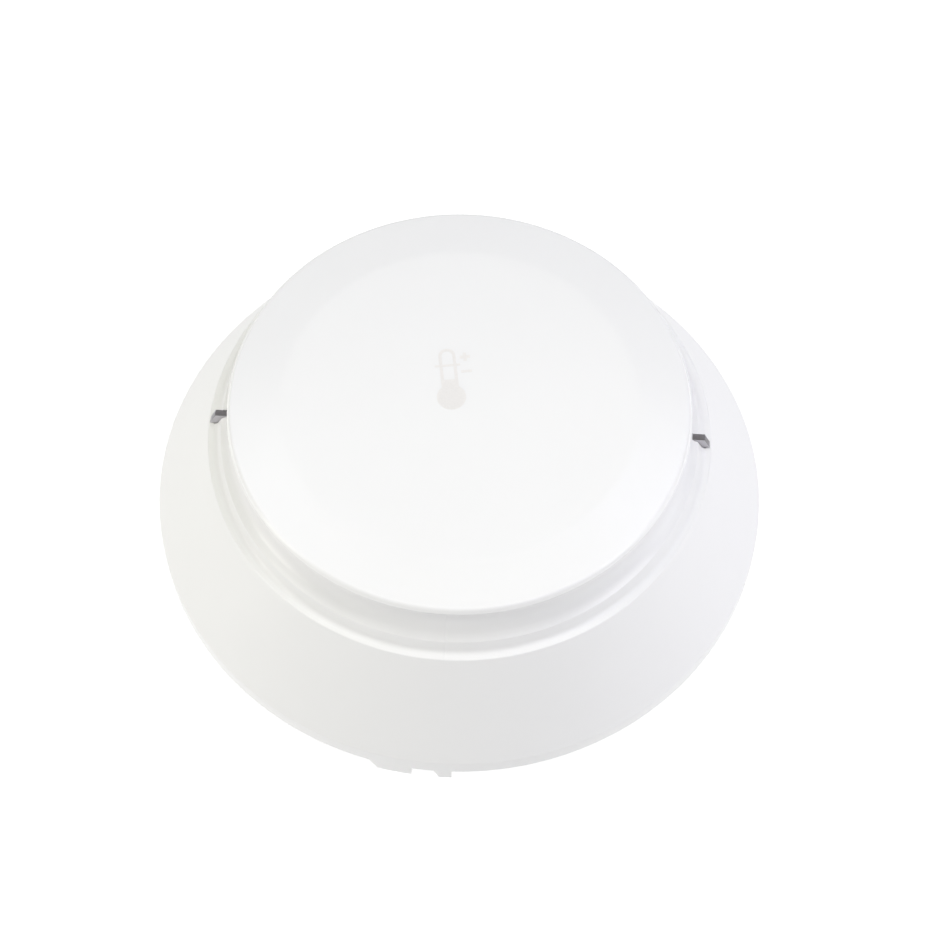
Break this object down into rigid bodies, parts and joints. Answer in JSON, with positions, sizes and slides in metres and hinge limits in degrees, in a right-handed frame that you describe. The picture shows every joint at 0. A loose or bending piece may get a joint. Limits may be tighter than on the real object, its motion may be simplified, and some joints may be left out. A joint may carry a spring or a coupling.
{
  "type": "heat detector",
  "caption": "Low-profile white ceiling heat detector: conical twist-off head with a crowned sensing disc and two light windows, on a mounting base.",
  "frame": {"origin": "centre of the base's flat back, in the plane of the ceiling", "axes": "+Z points out of the ceiling to the room, through the sensing disc; the two light windows lie on X; the head's moulding seam faces -Y"},
  "size_m": [0.11, 0.11, 0.0371],
  "materials": {
    "white_housing": "fine satin-gloss moulded white",
    "white_disc": "fine satin-gloss moulded white",
    "clear_light_pipe": "clear moulded polycarbonate",
    "white_chassis": "moulded white, satin",
    "zinc_screw": "bright zinc plate",
    "green_board": "green solder mask on glass fibre",
    "red_lamp": "tinted clear resin",
    "black_chip": "matt moulding compound",
    "can_aluminium": "drawn can",
    "switch_glass": "greenish glass capsule and tinned leads",
    "ceramic_chip": "ceramic with tinned ends",
    "thermistor_coating": "dipped epoxy",
    "bead_glass": "glass bead on tinned leads",
    "grey_pad": "soft filled silicone",
    "natural_post": "natural nylon",
    "tinned_steel": "tin plate",
    "white_base": "moulded white, satin",
    "sprung_bronze": "bare phosphor bronze",
    "brass_screw": "nickel-brass"
  },
  "bodies": {
    "base": {"base_plate": "white_base", "spring_contacts": "sprung_bronze", "clamp_plates": "zinc_screw", "terminal_screws": "brass_screw"},
    "head": {"outer_cover": "white_housing", "face_disc": "white_disc", "light_pipe_left": "clear_light_pipe", "light_pipe_right": "clear_light_pipe", "rear_chassis": "white_chassis", "chassis_screws": "zinc_screw", "board_screws": "zinc_screw", "circuit_board": "green_board", "status_leds": "red_lamp", "microcontroller": "black_chip", "capacitors": "can_aluminium", "reed_switch": "switch_glass", "chip_parts": "ceramic_chip", "reference_thermistor": "thermistor_coating", "sensing_thermistor": "bead_glass", "thermal_pad": "grey_pad", "sensor_post": "natural_post", "contact_blades": "tinned_steel"}
  },
  "joints": [
    {"name": "twist_lock", "type": "hinge", "parent": "base", "child": "head", "pos_m": [0, 0, 0.0052], "axis": [0, 0, 1], "range_deg": [0, 20]}
  ]
}
